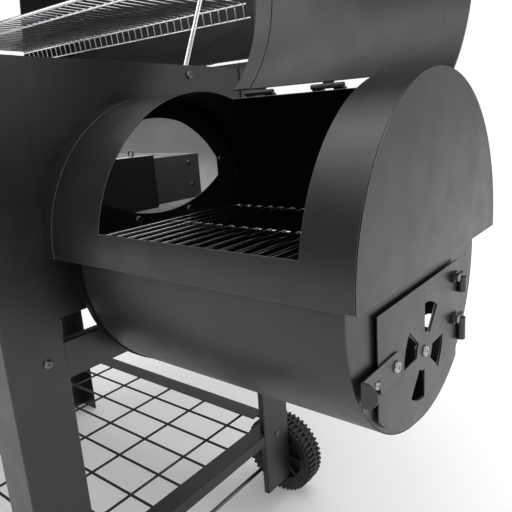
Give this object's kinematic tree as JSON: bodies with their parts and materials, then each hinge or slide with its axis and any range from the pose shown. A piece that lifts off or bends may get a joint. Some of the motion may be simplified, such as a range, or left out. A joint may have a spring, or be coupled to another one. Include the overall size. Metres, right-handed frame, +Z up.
{
  "type": "offset barrel smoker",
  "caption": "Black offset barrel smoker: grill chamber with hinged lid and warming rack, side firebox with hinged lid and ash door, wire shelf and wheels.",
  "frame": {"origin": "bottom centre of the whole object's box with both lids open", "axes": "+X along the chamber towards the side firebox, +Y towards the back, +Z up"},
  "size_m": [1.357, 0.8222, 1.4821],
  "materials": {
    "black_sheet": "satin black powder coat",
    "firebox_sheet": "satin black high-heat coat",
    "chrome_wire": "bright plated wire",
    "black_wire": "satin black coated wire",
    "zinc": "zinc plated",
    "dark_bolt": "blackened steel",
    "wheel_plastic": "moulded",
    "tray_steel": "grey coated sheet",
    "gauge_case": "brushed",
    "gauge_dial": "printed dial",
    "gauge_needle": "painted pointer",
    "handle_grip": "satin black tube"
  },
  "bodies": {
    "root": {"leg_rear_right": "black_sheet", "leg_front_right": "black_sheet", "leg_rear_left": "black_sheet", "leg_front_left": "black_sheet", "end_braces": "black_sheet", "end_rails": "black_sheet", "side_rails": "black_sheet", "wire_shelf": "black_wire", "frame_bolts": "dark_bolt", "axle": "zinc", "axle_caps": "wheel_plastic", "end_panel_right": "black_sheet", "end_panel_left": "black_sheet", "tub": "black_sheet", "grate_rests": "black_wire", "lid_hinge_fixed": "black_sheet", "rack_arm_bolts": "dark_bolt", "chimney_elbow": "black_sheet", "chimney_pipe": "black_sheet", "firebox_housing": "firebox_sheet", "firebox_housing_end": "firebox_sheet", "firebox_collar": "firebox_sheet", "firebox_mounting_ring": "firebox_sheet", "firebox_screws": "dark_bolt", "firebox_barrel": "firebox_sheet", "barrel_left_disc": "firebox_sheet", "barrel_end_cap": "firebox_sheet", "firebox_hinge_fixed": "firebox_sheet", "fire_grate": "chrome_wire", "charcoal_grate": "black_wire", "grate_brackets": "black_wire", "keeper_screw": "zinc", "door_hinge_knuckles": "zinc"},
    "main_lid": {"main_lid": "black_sheet", "main_lid_ends": "black_sheet", "rack_link_studs": "zinc", "lid_handle": "handle_grip", "lid_handle_posts": "black_sheet", "thermometer_body": "gauge_case", "thermometer_dial": "gauge_dial", "thermometer_needle": "gauge_needle", "lid_hinge_moving": "black_sheet"},
    "rack_arms": {"rack_arms": "chrome_wire"},
    "warming_rack": {"warming_rack": "chrome_wire"},
    "firebox_lid": {"firebox_lid": "firebox_sheet", "firebox_lid_handle": "black_sheet", "firebox_hinge_moving": "firebox_sheet"},
    "ash_door": {"ash_door": "firebox_sheet", "door_screws": "zinc", "door_pins": "zinc", "door_bolts": "zinc"},
    "ash_vent": {"vent_disc": "zinc"},
    "door_latch": {"latch": "black_sheet"},
    "wheel_rear": {"wheel_rear": "wheel_plastic"},
    "wheel_front": {"wheel_front": "wheel_plastic"},
    "grate_right": {"cooking_grate_right": "chrome_wire"},
    "grate_left": {"cooking_grate_left": "chrome_wire"},
    "charcoal_tray": {"charcoal_tray": "tray_steel", "tray_end_bracket": "black_sheet"},
    "chimney_cap": {"chimney_cap": "black_sheet"}
  },
  "joints": [
    {"name": "main_lid", "type": "hinge", "parent": "root", "child": "main_lid", "pos_m": [-0.1695, 0.2023, 0.933], "axis": [-1, 0, 0], "range_deg": [-95, 0]},
    {"name": "rack_arms", "type": "hinge", "parent": "root", "child": "rack_arms", "pos_m": [-0.1695, 0.0173, 0.912], "axis": [-1, 0, 0], "range_deg": [-95, 0]},
    {"name": "warming_rack", "type": "hinge", "parent": "rack_arms", "child": "warming_rack", "pos_m": [-0.1695, 0.07648, 1.04492], "axis": [-1, 0, 0], "range_deg": [0, 95]},
    {"name": "firebox_lid", "type": "hinge", "parent": "root", "child": "firebox_lid", "pos_m": [0.5035, -0.0094, 0.87344], "axis": [-1, 0, 0], "range_deg": [-121, 0]},
    {"name": "ash_door", "type": "hinge", "parent": "root", "child": "ash_door", "pos_m": [0.665, 0.0318, 0.585], "axis": [0, 0, 1], "range_deg": [0, 110]},
    {"name": "ash_vent", "type": "hinge", "parent": "ash_door", "child": "ash_vent", "pos_m": [0.6591, -0.0807, 0.575], "axis": [1, 0, 0], "range_deg": [0, 45]},
    {"name": "door_latch", "type": "hinge", "parent": "ash_door", "child": "door_latch", "pos_m": [0.6625, -0.1597, 0.59], "axis": [-1, 0, 0], "range_deg": [0, 70]},
    {"name": "wheel_rear", "type": "hinge", "parent": "root", "child": "wheel_rear", "pos_m": [0.1925, 0.2473, 0.089], "axis": [0, 1, 0], "continuous": true},
    {"name": "wheel_front", "type": "hinge", "parent": "root", "child": "wheel_front", "pos_m": [0.1925, -0.3707, 0.089], "axis": [0, 1, 0], "continuous": true},
    {"name": "grate_right", "type": "slide", "parent": "root", "child": "grate_right", "axis": [0, 0, 1], "range_m": [0, 0.06]},
    {"name": "grate_left", "type": "slide", "parent": "root", "child": "grate_left", "axis": [0, 0, 1], "range_m": [0, 0.06]},
    {"name": "charcoal_tray", "type": "slide", "parent": "root", "child": "charcoal_tray", "axis": [0, 0, 1], "range_m": [0, 0.06]},
    {"name": "chimney_cap", "type": "hinge", "parent": "root", "child": "chimney_cap", "pos_m": [-0.6375, -0.0147, 1.294], "axis": [-1, 0, 0], "range_deg": [0, 100]}
  ],
  "couplings": [
    {"joint": "rack_arms", "follows": "main_lid", "ratio": 1},
    {"joint": "warming_rack", "follows": "main_lid", "ratio": -1}
  ]
}
